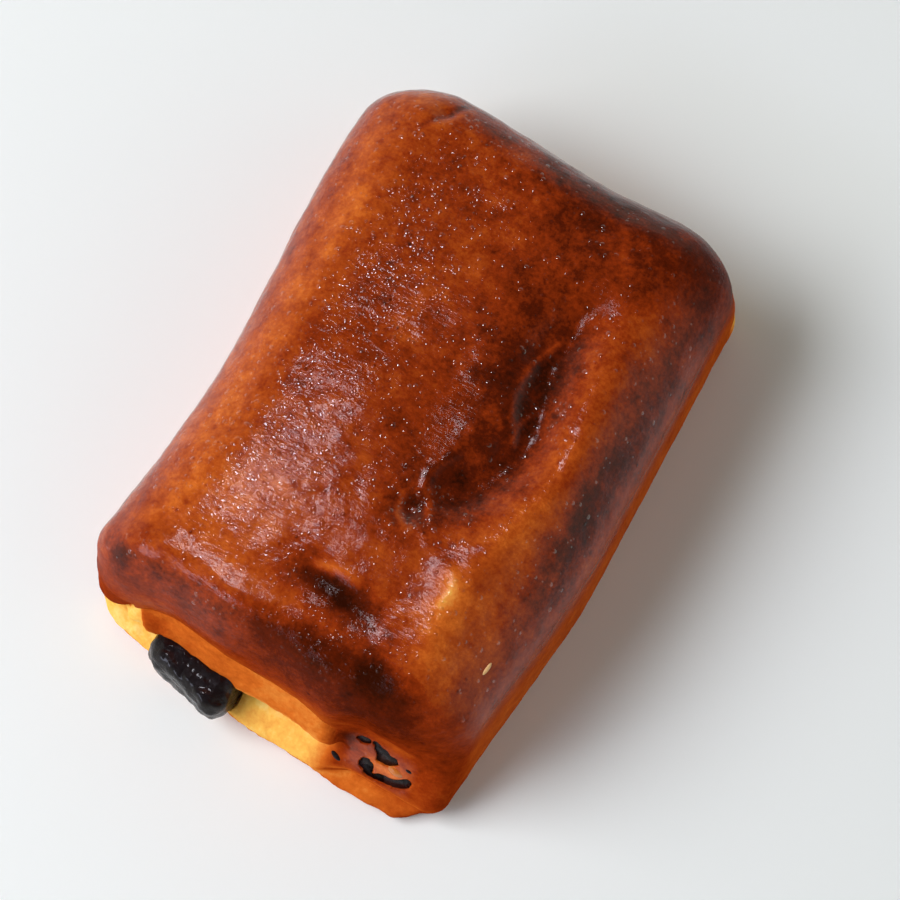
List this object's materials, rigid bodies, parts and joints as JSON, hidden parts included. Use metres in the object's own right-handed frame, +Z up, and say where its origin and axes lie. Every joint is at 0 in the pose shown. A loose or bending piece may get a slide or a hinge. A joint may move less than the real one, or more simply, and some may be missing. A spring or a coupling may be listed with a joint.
{
  "type": "gluten-free pain au chocolat",
  "caption": "Oblong glazed pastry roll baked round chocolate sticks that show at its open ends, resting on its flat underside.",
  "frame": {"origin": "on the flat underside, below the middle of the roll", "axes": "+Z up, +Y along the chocolate sticks towards the back end, so -Y is the open front end, and +X to the right seen from the front"},
  "size_m": [0.0649, 0.0988, 0.0339],
  "materials": {
    "crust": "baked golden-brown crust under a thin clear glaze",
    "chocolate": "dark melted chocolate, set dull with a few shiny spots"
  },
  "bodies": {
    "root": {"dough": "crust", "chocolate_left": "chocolate", "chocolate_right": "chocolate"}
  },
  "joints": []
}
